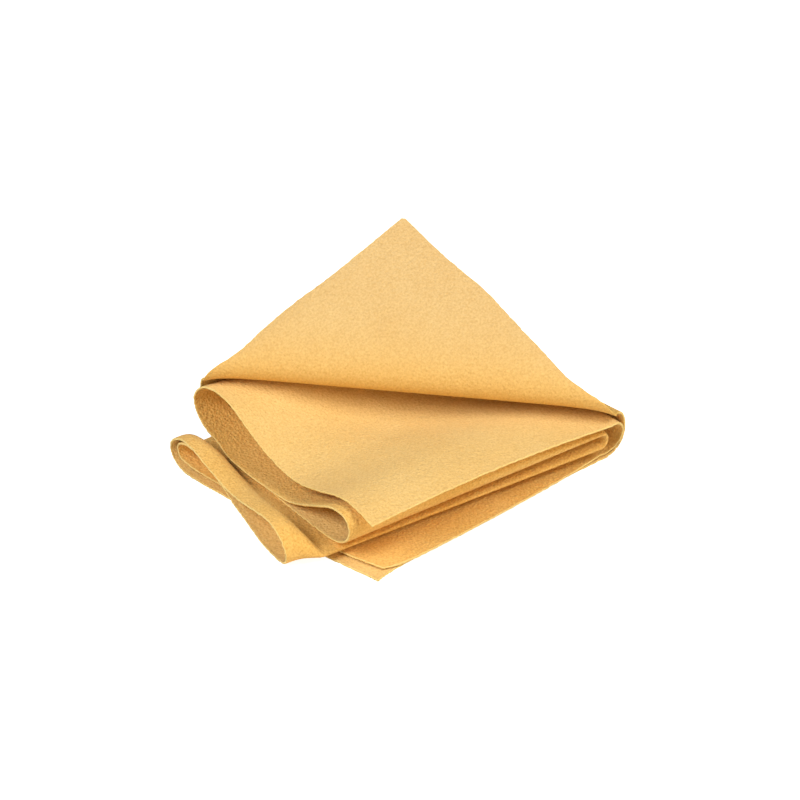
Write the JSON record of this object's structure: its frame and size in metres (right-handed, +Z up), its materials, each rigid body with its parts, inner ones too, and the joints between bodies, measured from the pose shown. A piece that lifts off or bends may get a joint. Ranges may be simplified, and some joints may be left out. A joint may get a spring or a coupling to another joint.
{
  "type": "chamois cloth",
  "caption": "Tan synthetic chamois cleaning cloth, folded into a soft packet of loose leaves, with the top corner turned back over a rolled diagonal crease.",
  "frame": {"origin": "middle of the folded leaves on the flat underside of the lowest leaf, which lies on the table", "axes": "+Z up, +X from the cut ends to the right-hand fold, +Y from the near side to the left-hand folds"},
  "size_m": [0.2037, 0.1587, 0.1015],
  "materials": {
    "felt": "matte needle felt"
  },
  "bodies": {
    "lower_half": {"lower_cover_leaf": "felt", "lower_cover_bend": "felt", "lower_core_leaf": "felt", "lower_near_bend": "felt", "lower_third_leaf": "felt", "lower_inner_bend": "felt", "lower_second_leaf": "felt"},
    "upper_half": {"upper_cover_leaf": "felt", "upper_cover_bend": "felt", "upper_core_leaf": "felt", "upper_near_bend": "felt", "upper_third_leaf": "felt", "upper_inner_bend": "felt", "upper_second_leaf": "felt", "flap_crease": "felt"},
    "turned_corner": {"corner_flap": "felt"}
  },
  "joints": [
    {"name": "right_fold", "type": "hinge", "parent": "lower_half", "child": "upper_half", "pos_m": [0.09275, 0, 0.014], "axis": [0, 1, 0], "range_deg": [0, 125]},
    {"name": "corner_crease", "type": "hinge", "parent": "upper_half", "child": "turned_corner", "pos_m": [0.00381, 0.00065, 0.0449], "axis": [0.7412, -0.6688, -0.0578], "range_deg": [-35, 135], "deforming": ["flap_crease"]}
  ]
}
